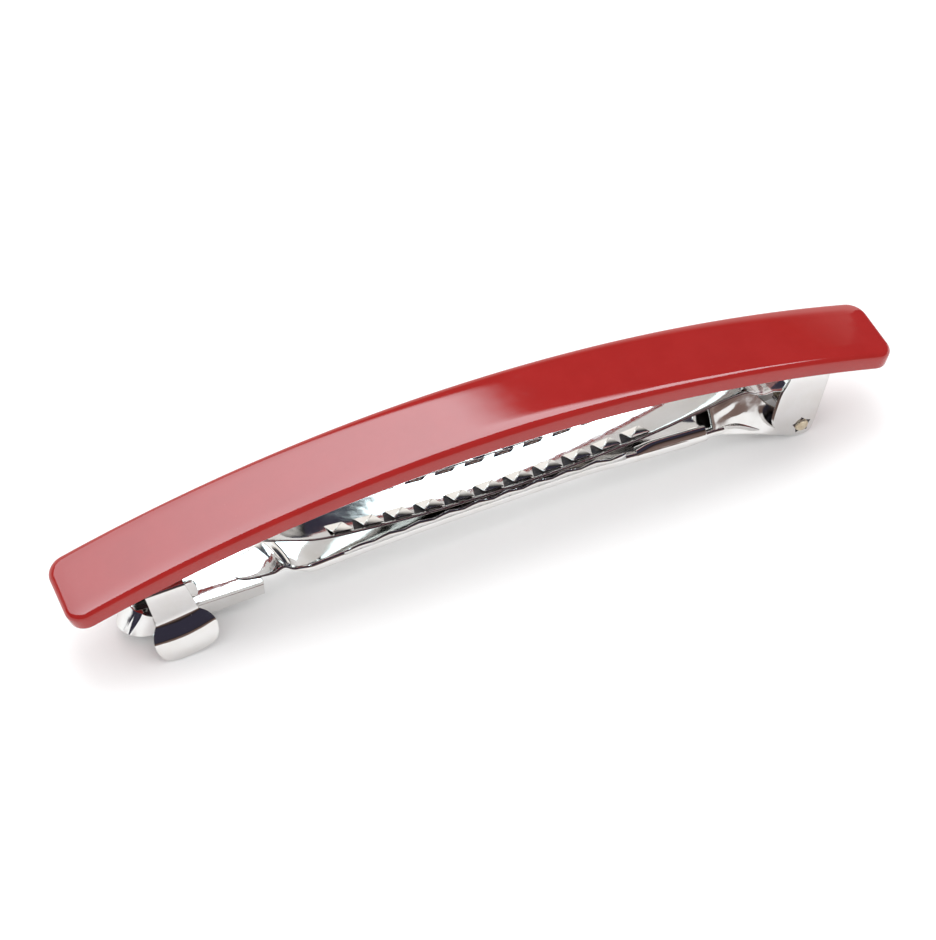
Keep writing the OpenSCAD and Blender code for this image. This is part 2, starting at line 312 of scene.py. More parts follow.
def speck_effect():
    """Scattered specks of dust, of uneven size."""
    effect = Effect("dust_specks", [("Scale", 1.0), ("Size", 0.1)])
    tree = effect.nodes, effect.links
    place, size, reach = effect.entry.outputs[:3]
    cells = effect.nodes.new("ShaderNodeTexVoronoi")
    effect.links.new(place, cells.inputs["Vector"])
    effect.links.new(size, cells.inputs["Scale"])
    speck = remap(tree, cells.outputs["Distance"], 0.0, reach, 1.0, 0.0)
    patches = remap(tree, noise(tree, place, maths(tree, "MULTIPLY", size, 0.3), 2.0), 0.5, 0.64)
    return effect.finish(maths(tree, "MULTIPLY", speck, patches))


def smudge_effect():
    """Soft finger smudges: broad patches with a streaky edge."""
    effect = Effect("finger_smudges", [("Scale", 1.0)])
    tree = effect.nodes, effect.links
    place, size = effect.entry.outputs[:2]
    broad = remap(tree, noise(tree, place, size, 3.0, 0.6), 0.46, 0.68)
    streaks = noise(tree, stretched(tree, place, (0.4, 2.5, 1), 0.6), maths(tree, "MULTIPLY", size, 6.0), 2.0)
    return effect.finish(maths(tree, "MULTIPLY", broad, remap(tree, streaks, 0.3, 0.7, 0.55, 1.0)))


def ripple_effect():
    """Low waves and fine grain left by rolling, pressing or polishing."""
    effect = Effect("surface_ripple", [("Scale", 1.0), ("Grain", 0.2)], "Height")
    tree = effect.nodes, effect.links
    place, size, share = effect.entry.outputs[:3]
    waves = noise(tree, place, size, 1.0)
    grain = noise(tree, place, maths(tree, "MULTIPLY", size, 7.0), 3.0, 0.6)
    return effect.finish(maths(tree, "ADD", waves, maths(tree, "MULTIPLY", grain, share)))


def shade_effect():
    """A soft mixture of two tones, from the first colour to the second."""
    effect = Effect("two_tone_cloud", [("Scale", 1.0)], "Colour", "NodeSocketColor")
    sockets = effect.group.interface
    for label in ("First", "Second"):
        sockets.new_socket(label, in_out="INPUT", socket_type="NodeSocketColor")
    tree = effect.nodes, effect.links
    share = remap(tree, noise(tree, effect.entry.outputs[0], effect.entry.outputs[1], 4.0, 0.6), 0.3, 0.7)
    mix = effect.nodes.new("ShaderNodeMix")
    mix.data_type = "RGBA"
    effect.links.new(share, mix.inputs["Factor"])
    effect.links.new(effect.entry.outputs[2], mix.inputs[6])
    effect.links.new(effect.entry.outputs[3], mix.inputs[7])
    return effect.finish(mix.outputs[2])


SCRATCHES, SPECKS, SMUDGES, RIPPLE, SHADE = (
    scratch_effect(), speck_effect(), smudge_effect(), ripple_effect(), shade_effect())


class Surface:
    """A material with one shader, its places read in millimetres from the piece itself."""

    def __init__(self, name, metallic, roughness):
        self.material = bpy.data.materials.new(name)
        self.nodes, self.links = tree_of(self.material)
        self.tree = self.nodes, self.links
        self.shader = self.nodes.new("ShaderNodeBsdfPrincipled")
        self.shader.inputs["Metallic"].default_value = metallic
        self.shader.inputs["Roughness"].default_value = roughness
        output = self.nodes.new("ShaderNodeOutputMaterial")
        self.links.new(self.shader.outputs[0], output.inputs[0])
        here = self.nodes.new("ShaderNodeTexCoord").outputs["Object"]
        self.place = stretched(self.tree, here, (1 / MM, 1 / MM, 1 / MM))

    def effect(self, group, place=None, **values):
        node = self.nodes.new("ShaderNodeGroup")
        node.node_tree = group
        self.links.new(place or self.place, node.inputs["Place"])
        for label, value in values.items():
            node.inputs[label].default_value = value
        return node.outputs[0]

    def tones(self, scale, first, second):
        return self.effect(SHADE, Scale=scale, First=(*first, 1), Second=(*second, 1))

    def mixed(self, share, first, second):
        """One colour laid over another; each may be a socket or a plain colour."""
        node = self.nodes.new("ShaderNodeMix")
        node.data_type = "RGBA"
        self.links.new(share, node.inputs["Factor"])
        for socket, colour in ((node.inputs[6], first), (node.inputs[7], second)):
            if isinstance(colour, tuple):
                socket.default_value = (*colour, 1)
            else:
                self.links.new(colour, socket)
        return node.outputs[2]

    def colour(self, socket):
        self.links.new(socket, self.shader.inputs["Base Color"])

    def rough(self, base, *parts):
        """Roughness: a base value and some masks, each with how much it adds."""
        total = base
        for mask, amount in parts:
            total = maths(self.tree, "ADD", maths(self.tree, "MULTIPLY", mask, amount), total)
        self.links.new(total, self.shader.inputs["Roughness"])

    def relief(self, height, depth, strength=1.0):
        bump = self.nodes.new("ShaderNodeBump")
        bump.inputs["Strength"].default_value = strength
        bump.inputs["Distance"].default_value = depth * MM
        self.links.new(height, bump.inputs["Height"])
        self.links.new(bump.outputs[0], self.shader.inputs["Normal"])


def add_acetate():
    """Solid red acetate, polished, over a faintly clouded pigment, with hairlines and finger marks."""
    acetate = Surface("red_acetate", 0, 0.06)
    pigment = acetate.tones(0.22, (0.310, 0.018, 0.016), (0.290, 0.016, 0.014))
    specks = acetate.effect(SPECKS, Scale=1.1, Size=0.09)
    lines = acetate.effect(SCRATCHES, Scale=3.0, Width=0.006)
    faint = maths(acetate.tree, "MULTIPLY", specks, 0.35)
    acetate.colour(acetate.mixed(faint, pigment, (0.42, 0.08, 0.07)))
    acetate.rough(0.05, (acetate.effect(SMUDGES, Scale=0.12), 0.035), (lines, 0.12), (specks, 0.2))
    acetate.relief(acetate.effect(RIPPLE, Scale=0.35, Grain=0.02), 0.012, 0.5)
    return acetate.material


def add_nickel():
    """Bright nickel plate on pressed steel: rolling ripple, a warm bloom in places, hairlines and dust."""
    nickel = Surface("bright_nickel", 1, 0.1)
    plate = nickel.tones(0.35, (0.72, 0.71, 0.705), (0.685, 0.67, 0.65))
    specks = nickel.effect(SPECKS, Scale=2.2, Size=0.12)
    lines = nickel.effect(SCRATCHES, Scale=5.0, Width=0.006)
    faint = maths(nickel.tree, "MULTIPLY", specks, 0.4)
    nickel.colour(nickel.mixed(faint, plate, (0.45, 0.42, 0.38)))
    nickel.rough(0.075, (nickel.effect(SMUDGES, Scale=0.3), 0.05), (lines, 0.1), (specks, 0.25))
    nickel.relief(nickel.effect(RIPPLE, Scale=0.9, Grain=0.05), 0.02, 0.45)
    return nickel.material


def add_pin_metal():
    """The pin's brass-coloured metal: a dull hammered face with dark flecks."""
    pin = Surface("peened_pin", 1, 0.4)
    flecks = pin.effect(SPECKS, Scale=4.0, Size=0.25)
    metal = pin.tones(2.2, (0.80, 0.71, 0.55), (0.62, 0.52, 0.37))
    pin.colour(pin.mixed(flecks, metal, (0.20, 0.15, 0.10)))
    lines = pin.effect(SCRATCHES, Scale=8.0, Width=0.02)
    pin.rough(0.36, (pin.effect(SMUDGES, Scale=1.5), 0.2), (lines, 0.2))
    pin.relief(pin.effect(RIPPLE, Scale=2.4, Grain=0.3), 0.12, 0.8)
    return pin.material


def add_recess():
    """Painted shade for the inside of a cut or a hole: a dark, rough metal that stands in for the shade
    there.
    """
    cut = Surface("painted_shade_recess", 0.5, 0.5)
    # the near-black tones are painted shade, not the metal's own colour; the lighter hairlines are real
    # scratches
    edge = cut.tones(1.6, (0.018, 0.017, 0.022), (0.055, 0.045, 0.045))
    lines = cut.effect(SCRATCHES, Scale=9.0, Width=0.02)
    cut.colour(cut.mixed(lines, edge, (0.16, 0.14, 0.13)))
    specks = cut.effect(SPECKS, Scale=5.0, Size=0.2)
    cut.rough(0.45, (cut.effect(SMUDGES, Scale=1.0), 0.2), (specks, 0.2))
    cut.relief(cut.effect(RIPPLE, Scale=3.0, Grain=0.4), 0.05, 0.7)
    return cut.material


def add_film():
    """Clear adhesive film, a little yellowed, with trapped dust and a wrinkled surface."""
    film = Surface("clear_film", 0, 0.35)
    glue = film.tones(0.6, (0.62, 0.60, 0.52), (0.50, 0.46, 0.36))
    specks = film.effect(SPECKS, Scale=1.6, Size=0.16)
    film.colour(film.mixed(specks, glue, (0.30, 0.27, 0.22)))
    lines = film.effect(SCRATCHES, Scale=4.0, Width=0.01)
    film.rough(0.28, (film.effect(SMUDGES, Scale=0.5), 0.25), (lines, 0.1))
    film.relief(film.effect(RIPPLE, Scale=1.2, Grain=0.2), 0.03, 0.7)
    return film.material


# ---- pressed sheet and turned pieces ------------------------------------------

def facing(shape, towards):
    """Turns a sheet over if it faces away from a direction."""
    shape.normal_update()
    lean = sum((face.calc_area() * face.normal for face in shape.faces), Vector())
    if lean.dot(Vector(towards)) < 0:
        bmesh.ops.reverse_faces(shape, faces=shape.faces)
    return shape


def sheet(columns, rows, place, towards=UPWARDS):
    """A flat grid, each point of which is moved to place(across, along), both from 0 to 1."""
    shape = bmesh.new()
    bmesh.ops.create_grid(shape, x_segments=columns, y_segments=rows, size=0.5)
    for vert in shape.verts:
        vert.co = place(vert.co.x + 0.5, vert.co.y + 0.5)
    return facing(shape, towards)


def row_at(rows, share):
    """The row of a list that lies at a share of the way through it, from 0 to 1."""
    return rows[round(share * (len(rows) - 1))]


def rows_of(rows, columns, point, towards=UPWARDS):
    """A sheet with one line of points for each row of a list; point(row, across) says where they go."""
    return sheet(columns, len(rows) - 1, lambda across, along: point(row_at(rows, along), across), towards)


def both_halves(half_section):
    """A whole section from its right half, given from the middle outwards as distance and drop."""
    return [(-side, drop) for side, drop in half_section[:0:-1]] + half_section


def read(table, key):
    """The value at a key in a table of keys and values, in straight lines between its rows."""
    for first, second in zip(table, table[1:]):
        if key <= second[0] or second is table[-1]:
            share = min(max((key - first[0]) / (second[0] - first[0]), 0), 1)
            return first[1] + share * (second[1] - first[1])


def between(low, high, share):
    return low + share * (high - low)


def join(*shapes):
    whole = bmesh.new()
    for shape in shapes:
        mesh = bpy.data.meshes.new("part")
        shape.to_mesh(mesh)
        shape.free()
        whole.from_mesh(mesh)
        bpy.data.meshes.remove(mesh)
    return whole


def flipped(shape):
    """A shape carried over to the far side of the barrette."""
    bmesh.ops.scale(shape, vec=(1, -1, 1), verts=shape.verts)
    bmesh.ops.reverse_faces(shape, faces=shape.faces)
    return shape


def mirrored(make):
    """Two copies of a shape, one on each side of the middle of the barrette."""
    return join(make(), flipped(make()))


def edges_where(shape, test):
    return [edge for edge in shape.edges if test(edge.verts[0].co, edge.verts[1].co)]


def round_edges(shape, edges, radius, segments):
    bmesh.ops.bevel(shape, geom=edges, offset=radius, offset_type="OFFSET", segments=segments, profile=0.5,
                    affect="EDGES", material=-1)


def cut_across(shape, axis, places):
    """Cuts a shape square to an axis (0 for X, 1 for Y) at each place, so that it can bend there."""
    for place in places:
        point, normal = Vector(), Vector()
        point[axis], normal[axis] = place, 1
        bmesh.ops.bisect_plane(shape, geom=shape.verts[:] + shape.edges[:] + shape.faces[:], dist=1e-5,
                               plane_co=point, plane_no=normal)


def make_piece(shape, name, material, body, slot, node=None, smooth=0, thickness=0, rim=0):
    """Scales a shape to metres, gives a sheet its thickness and softened rim, and sets it on its body."""
    bmesh.ops.scale(shape, vec=(MM, MM, MM), verts=shape.verts)
    mesh = bpy.data.meshes.new(name)
    for face in shape.faces:
        face.smooth = True
    shape.to_mesh(mesh)
    shape.free()
    mesh.materials.append(material)
    piece = bpy.data.objects.new(name, mesh)
    bpy.context.collection.objects.link(piece)
    if smooth:
        soften = piece.modifiers.new("soft_form", "SUBSURF")
        soften.levels = soften.render_levels = smooth
    if thickness:
        wall = piece.modifiers.new("sheet", "SOLIDIFY")
        wall.thickness = thickness * MM
        wall.offset = -1
    if rim:
        edge = piece.modifiers.new("rim", "BEVEL")
        edge.width = rim * MM
        edge.segments = 2
        edge.limit_method = "ANGLE"
        edge.angle_limit = math.radians(50)
    if thickness or rim:
        piece.modifiers.new("normals", "WEIGHTED_NORMAL").keep_sharp = True
    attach(piece, body)
    if node:
        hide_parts(node)


# ---- acetate bar ---------------------------------------------------------------

# The radius and centre of the arc along the bar's top face.
BAR_R = 160.0
BAR_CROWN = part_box("acetate_bar")[1].z / MM
BAR_CENTRE = BAR_CROWN - BAR_R
BAR_T = 2.4
BAR_LENGTH = 97.0
BAR_WIDTH = 9.2
BAR_CORNER = 2.1
BAR_TOP_ROUND = 0.62
BAR_BOTTOM_ROUND = 0.45
# The polished faces roll away towards the edges: how far in this starts, and how far they fall.
ROLL_IN = 1.7
ROLL_FALL = 0.20


def inset_of(co):
    """How far a point of the flat bar lies inside its outline, which has rounded corners."""
    inset_x, inset_y = BAR_LENGTH / 2 - abs(co.x), BAR_WIDTH / 2 - abs(co.y)
    if inset_x < BAR_CORNER and inset_y < BAR_CORNER:
        return BAR_CORNER - math.hypot(BAR_CORNER - inset_x, BAR_CORNER - inset_y)
    return min(inset_x, inset_y)


def bend(shape):
    """Bends a flat shape along the bar's arc; its Z is measured from the bar's top face."""
    for vert in shape.verts:
        angle = vert.co.x / BAR_R
        reach = BAR_R + vert.co.z
        vert.co = Vector((reach * math.sin(angle), vert.co.y, BAR_CENTRE + reach * math.cos(angle)))


def make_bar():
    shape = bmesh.new()
    bmesh.ops.create_cube(shape, size=1)
    bmesh.ops.scale(shape, vec=(BAR_LENGTH, BAR_WIDTH, BAR_T), verts=shape.verts)
    bmesh.ops.translate(shape, vec=(0, 0, -BAR_T / 2), verts=shape.verts)
    slack = 0.01
    upright = edges_where(shape, lambda a, b: abs(a.z - b.z) > 1)
    round_edges(shape, upright, BAR_CORNER, 10)
    top = edges_where(shape, lambda a, b: a.z > -slack and b.z > -slack)
    round_edges(shape, top, BAR_TOP_ROUND, 6)
    bottom = edges_where(shape, lambda a, b: a.z < slack - BAR_T and b.z < slack - BAR_T)
    round_edges(shape, bottom, BAR_BOTTOM_ROUND, 4)
    # cuts across the bar let it bend, and cuts along it let its faces roll
    cut_across(shape, 0, [0.75 * step for step in range(-64, 65)])
    cut_across(shape, 1, [sign * place for sign in (-1, 1) for place in (0, 1.5, 2.4, 2.9, 3.2, 3.5, 3.75)])
    for vert in shape.verts:
        share = max(0.0, 1 - inset_of(vert.co) / ROLL_IN) ** 2
        lift = (vert.co.z + BAR_T) / BAR_T
        vert.co.z -= ROLL_FALL * share * lift - 0.5 * ROLL_FALL * share * (1 - lift)
    bend(shape)
    bmesh.ops.recalc_face_normals(shape, faces=shape.faces)
    make_piece(shape, "acetate_bar_body", red_acetate, "bar", "acetate", "acetate_bar")


# ---- base plate, hinge ears and pin ---------------------------------------------

FILM_T = 0.1
# The radius of the base plate's top face, under the bar and the film.
BASE_TOP = BAR_R - BAR_T - FILM_T
BASE_T = 0.5
BASE_WIDTH = 6.6
BASE_CATCH_REACH = 30
EAR_ANGLE = math.radians(13.5)
EAR_HALF_LENGTH = 3.4
# The middle of the pin, which is the hinge's axis; each head stands out from a rough seat in the ear.
PIN = Vector((36.7647, 0, 1.7685))
PIN_R = 0.6
PIN_LENGTH = 7.2
HEAD_R = 0.8
HEAD_HEIGHT = 0.25
SEAT_OUT = 3.612


def make_base_piece(shape, name, **finish):
    make_piece(shape, name, bright_nickel, "bar", "base_plate", "base_plate", **finish)


def on_base(angle, across):
    """A point of the base plate's top face, at an angle along its arc and a share of its width."""
    y = BASE_WIDTH * (across - 0.5)
    return Vector((BASE_TOP * math.sin(angle), y, BAR_CENTRE + BASE_TOP * math.cos(angle)))


def at_ears(along, y, up):
    """A point measured along and square to the base plate's lower face, from the middle of the hinge ears."""
    reach = BASE_TOP - BASE_T + up
    return Vector((along * math.cos(EAR_ANGLE) + reach * math.sin(EAR_ANGLE), y,
                   BAR_CENTRE - along * math.sin(EAR_ANGLE) + reach * math.cos(EAR_ANGLE)))


def make_base():
    start = -math.asin(BASE_CATCH_REACH / BASE_TOP)
    end = EAR_ANGLE + math.asin(EAR_HALF_LENGTH / BASE_TOP)
    strip = sheet(6, 60, lambda across, along: on_base(between(start, end, along), across))
    make_base_piece(strip, "base_strip", thickness=BASE_T, rim=0.08)


def hinge_ear():
    """One ear, with the bend over its top and the flat beside it."""
    # out from the middle, height, start and end along the plate
    rows = [(3.6, -8.72, 0.75, 2.35), (3.6, -8.6, 0.1, 2.85), (3.6, -8.3, -0.5, 3.2),
            (3.6, -7.7, -1.25, 3.38), (3.6, -6.9, -1.85, 3.4), (3.6, -6.0, -2.08, 3.4),
            (3.6, -3.8, -2.1, 3.4), (3.6, -2.2, -2.1, 3.4), (3.6, -1.2, -1.75, 3.4),
            (3.6, -0.35, -1.55, 3.4), (3.5, 0.16, -1.5, 3.4), (3.2, 0.44, -1.5, 3.4),
            (2.7, 0.49, -1.5, 3.4), (1.5, 0.49, -1.5, 3.4)]

    def point(row, across):
        out, height, start, end = row
        return at_ears(between(start, end, across), -out, height)

    return rows_of(rows, 6, point, NEAR_SIDE)


def make_hinge_ears():
    make_base_piece(mirrored(hinge_ear), "hinge_ears", smooth=1, thickness=BASE_T, rim=0.08)


def beside_pin(y):
    """Where a shape drawn flat goes, to stand across the pin at a place along it."""
    return Matrix.Translation(PIN + Vector((0, y, 0))) @ Matrix.Rotation(math.radians(90), 4, "X")


def pin_head():
    head = bmesh.new()
    middle = -PIN_LENGTH / 2 - HEAD_HEIGHT / 2
    bmesh.ops.create_cone(head, segments=20, radius1=HEAD_R, radius2=HEAD_R, depth=HEAD_HEIGHT, cap_ends=True,
                          matrix=beside_pin(middle))
    outer = edges_where(head, lambda a, b: a.y < middle - 0.05 and b.y < middle - 0.05)
    round_edges(head, outer, 0.22, 3)
    return head


def make_pin():
    """The pin, each end headed over into a low dome."""
    shank = bmesh.new()
    bmesh.ops.create_cone(shank, segments=32, radius1=PIN_R, radius2=PIN_R, depth=PIN_LENGTH, cap_ends=True,
                          matrix=beside_pin(0))
    pin = join(shank, mirrored(pin_head))
    make_piece(pin, "hinge_pin_rivet", peened_pin, "bar", "hinge_pin", "hinge_pin")


def pin_seat():
    """The rough star-shaped hole that one end of the pin is peened into, drawn as a flat dark patch of
    painted shade.
    """
    shape = bmesh.new()
    bmesh.ops.create_circle(shape, cap_ends=True, segments=10, radius=1.0)
    for number, vert in enumerate(sorted(shape.verts, key=lambda v: math.atan2(v.co.y, v.co.x))):
        vert.co *= 1.16 if number % 2 else 0.76
    bmesh.ops.transform(shape, matrix=beside_pin(-SEAT_OUT), verts=shape.verts)
    return shape


def make_pin_seats():
    # the seats are drawn in the painted-shade material, as the shade inside the holes
    make_piece(mirrored(pin_seat), "pin_seat_painted_shade", painted_shade_recess, "bar", "hinge_pin")


# ---- catch bridge and legs --------------------------------------------------------

# The middle of the catch bridge's top face, and how far it tilts with the base plate.
CATCH = Vector((-37, 0, 8.9))
CATCH_TILT = math.radians(9)
LEG_T = BASE_T * 0.9


def at_catch(along, y, up):
    """A point measured in the catch's own tilted frame."""
    return CATCH + Vector((along * math.cos(CATCH_TILT) - up * math.sin(CATCH_TILT), y,
                           along * math.sin(CATCH_TILT) + up * math.cos(CATCH_TILT)))


def make_bridge():
    bridge = sheet(4, 4, lambda across, along: at_catch(-2.3 + 4.4 * along, 5.5 * (across - 0.5), 0.0))
    make_base_piece(bridge, "catch_bridge", thickness=BASE_T, rim=0.06)


def make_base_step():
    """The rise from the catch bridge to the base plate's strip: along the barrette, height."""
    rows = [(-35.2, 9.13), (-34.3, 9.3), (-33.4, 9.6), (-32.4, 10.15), (-31.5, 10.55), (-30.6, 10.8),
            (-29.6, 11.0)]
    step = rows_of(rows, 4, lambda row, across: Vector((row[0], 4.8 * (across - 0.5), row[1])))
    make_base_piece(step, "base_step", smooth=1, thickness=BASE_T, rim=0.06)


def leg_blade():
    """One catch leg, from its bend at the bridge down to the dished, oval finger tab."""
    # out from the middle, height, left end, right end, how far the middle is dished
    rows = [(2.70, -0.02, -2.30, 1.95, 0.0), (3.10, -0.04, -2.30, 1.95, 0.0),
            (3.42, -0.20, -2.30, 1.97, 0.0), (3.58, -0.50, -2.30, 2.00, 0.0),
            (3.60, -1.20, -2.30, 2.10, 0.0), (3.60, -2.40, -2.30, 2.20, 0.0),
            (3.60, -3.60, -2.28, 2.32, 0.0), (3.60, -4.50, -2.25, 2.38, 0.0),
            (3.62, -4.85, -2.28, 2.42, 0.0), (3.72, -5.08, -2.48, 2.66, 0.04),
            (4.05, -5.30, -2.85, 3.12, 0.18), (4.50, -5.50, -3.08, 3.42, 0.32),
            (4.88, -5.72, -3.22, 3.58, 0.38), (5.08, -5.90, -3.28, 3.64, 0.38),
            (5.20, -6.20, -3.32, 3.68, 0.30), (5.38, -6.78, -3.32, 3.66, 0.18),
            (5.58, -7.40, -3.18, 3.50, 0.08), (5.76, -7.96, -2.90, 3.18, 0.02),
            (5.87, -8.38, -2.42, 2.68, 0.0), (5.92, -8.64, -1.78, 1.98, 0.0),
            (5.93, -8.76, -1.00, 1.15, 0.0)]

    def point(row, across):
        out, height, left, right, dish = row
        sag = dish * (1 - (2 * across - 1) ** 2)
        # the leg's top slopes down a little towards its right end
        slope = 0.55 * across * max(0.0, 1 + height / 2.0)
        return at_catch(between(left, right, across), -out, height - sag - slope)

    return rows_of(rows, 8, point, NEAR_SIDE)


def leg_lug():
    """The small stop beside the leg's inner face, folded back on itself."""
    # out from the middle, height, left end, right end
    rows = [(3.02, -1.3, 1.5, 2.9), (3.02, -2.6, 1.5, 3.25), (3.0, -3.6, 1.5, 3.0), (2.9, -3.95, 1.6, 2.6)]

    def point(row, across):
        out, height, left, right = row
        return at_catch(between(left, right, across), -out - 0.12 * abs(2 * across - 1), height)

    return rows_of(rows, 3, point, NEAR_SIDE)


def make_legs():
    front = join(leg_blade(), leg_lug())
    rear = flipped(join(leg_blade(), leg_lug()))
    for side, leg in (("front", front), ("rear", rear)):
        make_piece(leg, side + "_catch_leg", bright_nickel, side + "_leg", "catch_legs", "catch_leg_" + side,
                   smooth=2, thickness=LEG_T, rim=0.07)


# ---- clasp arm ------------------------------------------------------------------

ARM_T = 0.45
CHANNEL_TOP = 4.0
CHANNEL_DEPTH = 2.5
CHANNEL_HALF = 2.65
# The middle of the channel's round tip, and its open end.
CHANNEL_ROUND_X = -41 + CHANNEL_HALF
CHANNEL_END_X = -26.2
TOOTH_PITCH = 3.45


def make_arm_piece(shape, name, **finish):
    make_piece(shape, name, bright_nickel, "arm", "arm", "clasp_arm", **finish)


def channel_outline():
    """The channel's flat top: a disc, its right half drawn out straight to the channel's open end."""
    shape = bmesh.new()
    bmesh.ops.create_circle(shape, cap_ends=True, segments=40, radius=CHANNEL_HALF)
    for vert in shape.verts:
        if vert.co.x > 0.01:
            vert.co.x = CHANNEL_END_X - CHANNEL_ROUND_X
            vert.co.y = CHANNEL_HALF if vert.co.y > 0 else -CHANNEL_HALF
    bmesh.ops.remove_doubles(shape, verts=shape.verts, dist=0.001)
    bmesh.ops.translate(shape, vec=(CHANNEL_ROUND_X, 0, CHANNEL_TOP), verts=shape.verts)
    return shape


def make_channel():
    """The catch end: a round-ended channel with its walls turned down on all sides but the open end."""
    shape = channel_outline()
    outer = edges_where(shape, lambda a, b: min(a.x, b.x) <= CHANNEL_END_X - 0.01)
    walls = bmesh.ops.extrude_edge_only(shape, edges=outer)
    low = [item for item in walls["geom"] if isinstance(item, bmesh.types.BMVert)]
    for vert in shape.verts:
        # the top of the tip is drawn in
        if vert.co.x < CHANNEL_ROUND_X and vert not in low:
            inset = read([(0.0, 0.0), (0.6, 0.3)], (CHANNEL_ROUND_X - vert.co.x) / CHANNEL_HALF)
            vert.co.x += inset * (CHANNEL_ROUND_X - vert.co.x)
            vert.co.y *= 1 - inset
    bmesh.ops.translate(shape, vec=(0, 0, -CHANNEL_DEPTH), verts=low)
    for vert in low:
        # the walls grow shallower towards the open end
        vert.co.z += read([(CHANNEL_ROUND_X, 0.0), (CHANNEL_END_X, 0.55)], vert.co.x)
        # and flare outwards round the tip
        flare = read([(-0.7, 0.0), (0.3, 0.3)], (CHANNEL_ROUND_X - vert.co.x) / CHANNEL_HALF)
        vert.co.x += flare * (vert.co.x - CHANNEL_ROUND_X)
        vert.co.y *= 1 + 0.3 * flare
    round_edges(shape, [edge for edge in outer if edge.is_valid], 0.07, 2)
    cut_across(shape, 0, [CHANNEL_ROUND_X + 1.0 * step for step in range(13)])
    cut_across(shape, 1, [-1.75, -1.17, -1.05, 0, 1.05, 1.17, 1.75])
    for vert in shape.verts:
        if vert.co.z > CHANNEL_TOP - 0.02:
            # the middle of the top stands up a little, with a crease on each side
            vert.co.z += read([(1.05, 0.0), (1.17, -0.05)], abs(vert.co.y))
    bmesh.ops.recalc_face_normals(shape, faces=shape.faces)
    facing(shape, UPWARDS)
    make_arm_piece(shape, "arm_channel", thickness=ARM_T, rim=0.04)


def web_height(x):
    """Height of the web, which is slightly bowed along the arm."""
    return 5.5 - (x - 3) ** 2 / 720


def web_half(x):
    return read([(-18, 3.4), (0, 3.32), (12, 3.1), (17, 3.4), (25.3, 3.4)], x)


def make_web():
    """The arm's long web: the tongue in the channel, the joggle, and the turned-down edges."""
    # along the arm, height, half width, depth of the turned-down edge, how far the middle is raised
    rows = [(-29.0, 3.98, 0.7, 0.0, 0.0), (-28.6, 4.10, 1.3, 0.1, 0.0), (-27.8, 4.12, 1.8, 0.12, 0.02),
            (-26.6, 4.13, 2.0, 0.12, 0.05), (-25.6, 4.16, 2.2, 0.15, 0.12), (-25.0, 4.28, 2.3, 0.2, 0.2),
            (-24.6, 4.55, 2.35, 0.3, 0.3), (-24.2, 4.72, 2.35, 0.4, 0.35), (-23.9, 4.62, 2.35, 0.4, 0.35),
            (-23.5, 4.22, 2.35, 0.3, 0.3), (-23.1, 4.00, 2.4, 0.25, 0.2), (-22.7, 3.98, 2.5, 0.3, 0.05),
            (-22.2, 4.2, 2.8, 0.5, 0.0), (-21.4, 4.46, 3.2, 0.8, 0.0), (-20.2, 4.7, 3.35, 0.95, -0.1)]
    rows += [(x, web_height(x) + 0.08, web_half(x), 1.05, -0.1) for x in range(-18, 26, 2)]
    rows += [(26.3, 4.6, 3.0, 0.7, 0), (27.6, 4.45, 3.0, 0.6, 0)]
    # out from the middle as a share of the half width, share of the edge's depth
    section = both_halves([(0.0, 0.0), (0.33, 0.0), (0.66, 0.0), (0.90, 0.03), (0.955, 0.28), (0.985, 0.62),
                           (1.0, 1.0)])

    def point(row, across):
        x, height, half, depth, crown = row
        side, drop = row_at(section, across)
        skew = read([(-27, 0.0), (-25, 0.2), (-23, 0.2), (-20.5, 0.0)], x)
        y = side * half
        return Vector((x - skew * y, y, height - drop * depth + crown * (1 - side * side)))

    web = rows_of(rows, len(section) - 1, point)
    make_arm_piece(web, "arm_web", smooth=2, thickness=ARM_T * 0.8, rim=0.05)


def web_lip():
    """A low upturned lip along one edge of the web, its top cut to a zigzag that clears the louvres."""
    steps = 38
    # the zigzag's height and lean at each quarter of a tooth's pitch
    heights = (0.10, 0.30, 0.52, 0.22)
    leans = (0.0, 0.05, 0.0, 0.09)

    def point(across, along):
        step = round(along * steps)
        x = -17.2 + step * TOOTH_PITCH / 4
        # the lip starts low
        rise = heights[step % 4] * min(1.0, 0.35 + 0.15 * step)
        out = web_half(x) * (0.975 - 0.05 * across) - leans[step % 4] * across
        return Vector((x, -out, web_height(x) - 0.3 + across * (0.38 + rise)))

    return sheet(2, steps, point, NEAR_SIDE)


def make_web_lips():
    make_arm_piece(mirrored(web_lip), "arm_web_lips", thickness=0.12)


def side_roll():
    """The rolled wall on one side of the sprung strip, ahead of the hinge."""
    # out from the middle, height over the web
    section = [(2.2, 0.50), (2.4, 0.62), (2.65, 0.58), (2.95, 0.28), (3.2, -0.15), (3.36, -0.6),
               (3.36, -0.9)]

    def point(across, along):
        out, lift = row_at(section, across)
        x = 16.9 + 8.4 * along
        # the roll rises over its first quarter
        rise = min(1, 0.3 + 3 * along) if lift > 0 else 1
        return Vector((x, -out, web_height(x) + lift * rise))

    return sheet(len(section) - 1, 10, point, NEAR_SIDE)


def make_side_rolls():
    make_arm_piece(mirrored(side_roll), "arm_side_rolls", smooth=2, thickness=0.25, rim=0.05)


def press_marks(x, z):
    """How far the press marks stand out of the arm's ear: two small bumps and the hollow between them."""
    marks = ((29.7, 4.9, 0.55, 0.3), (28.3, 6.2, 0.5, 0.28), (29.0, 5.5, 0.45, -0.3))
    return sum(size * math.exp(-((x - mark_x) ** 2 + (z - mark_z) ** 2) / reach ** 2)
               for mark_x, mark_z, reach, size in marks)


